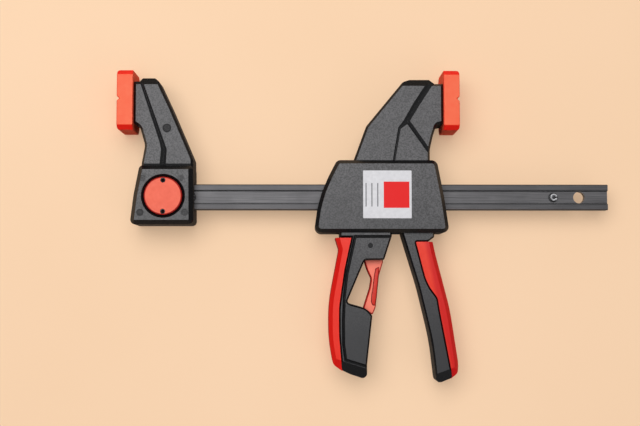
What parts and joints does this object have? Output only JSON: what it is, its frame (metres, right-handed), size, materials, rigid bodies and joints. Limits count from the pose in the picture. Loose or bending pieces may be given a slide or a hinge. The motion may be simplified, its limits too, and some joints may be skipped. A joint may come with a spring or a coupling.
{
  "type": "one-handed bar clamp",
  "caption": "One-handed bar clamp with a squeeze lever that feeds the bar, a release trigger and a lockable fixed jaw, set up for spreading.",
  "frame": {"origin": "on the rear face that the clamp lies on, under the bar's centre line at the middle of the carriage", "axes": "+X along the bar towards its free end, +Y towards the jaw tips, +Z out of the front face"},
  "size_m": [0.3728, 0.2351, 0.036],
  "materials": {
    "body_plastic": "fine grained dark grey moulding, smooth near-black bevels",
    "pad_red": "matt orange-red soft plastic",
    "grip_red": "satin red soft grip",
    "trigger_red": "satin salmon-red plastic",
    "button_red": "satin red plastic",
    "bar_steel": "dark burnished drawn steel",
    "pin_steel": "plain steel",
    "plate_steel": "blanked and hardened steel",
    "spring_steel": "spring wire"
  },
  "bodies": {
    "carriage": {"housing_front": "body_plastic", "housing_rear": "body_plastic", "housing_screws": "pin_steel", "moving_jaw_pad": "pad_red", "handle_grip": "grip_red", "lever_pin": "pin_steel", "trigger_pin": "pin_steel", "drive_spring": "spring_steel", "brake_spring": "spring_steel"},
    "bar_assembly": {"bar": "bar_steel", "stop_pins": "pin_steel", "fixed_jaw": "body_plastic", "fixed_jaw_pad": "pad_red", "lock_spring": "spring_steel"},
    "lock": {"lock_button": "button_red", "lock_screws": "pin_steel", "lock_yoke": "plate_steel", "lock_pin": "pin_steel"},
    "lever": {"drive_lever": "body_plastic", "lever_grip": "grip_red"},
    "drive_plates": {"drive_plate_a": "plate_steel", "drive_plate_b": "plate_steel"},
    "brake": {"brake_plate": "plate_steel"},
    "trigger": {"release_trigger": "trigger_red"}
  },
  "joints": [
    {"name": "bar_slide", "type": "slide", "parent": "carriage", "child": "bar_assembly", "axis": [1, 0, 0], "range_m": [-0.081, 0.091]},
    {"name": "lock_press", "type": "slide", "parent": "bar_assembly", "child": "lock", "axis": [0, 0, -1], "range_m": [0, 0.0038], "stiffness_N_per_m": 800, "springref_m": -0.004, "deforming": ["lock_spring"]},
    {"name": "lever_squeeze", "type": "hinge", "parent": "carriage", "child": "lever", "pos_m": [0.0185, 0.0187, 0.018], "axis": [0, 0, -1], "range_deg": [0, 15], "stiffness_Nm_per_rad": 0.6, "springref_deg": -17.19},
    {"name": "plates_feed", "type": "slide", "parent": "carriage", "child": "drive_plates", "axis": [-1, 0, 0], "range_m": [0, 0.0016], "deforming": ["drive_spring"]},
    {"name": "trigger_pull", "type": "hinge", "parent": "carriage", "child": "trigger", "pos_m": [-0.00795, -0.0371, 0.018], "axis": [0, 0, -1], "range_deg": [0, 13], "stiffness_Nm_per_rad": 0.15, "springref_deg": -17.19},
    {"name": "brake_tilt", "type": "hinge", "parent": "carriage", "child": "brake", "pos_m": [-0.0175, 0.017, 0.018], "axis": [0, 0, -1], "range_deg": [0, 2.2], "deforming": ["brake_spring"]}
  ],
  "couplings": [
    {"joint": "plates_feed", "follows": "lever_squeeze", "m_per_rad": 0.0058},
    {"joint": "brake_tilt", "follows": "trigger_pull", "ratio": 0.16}
  ]
}
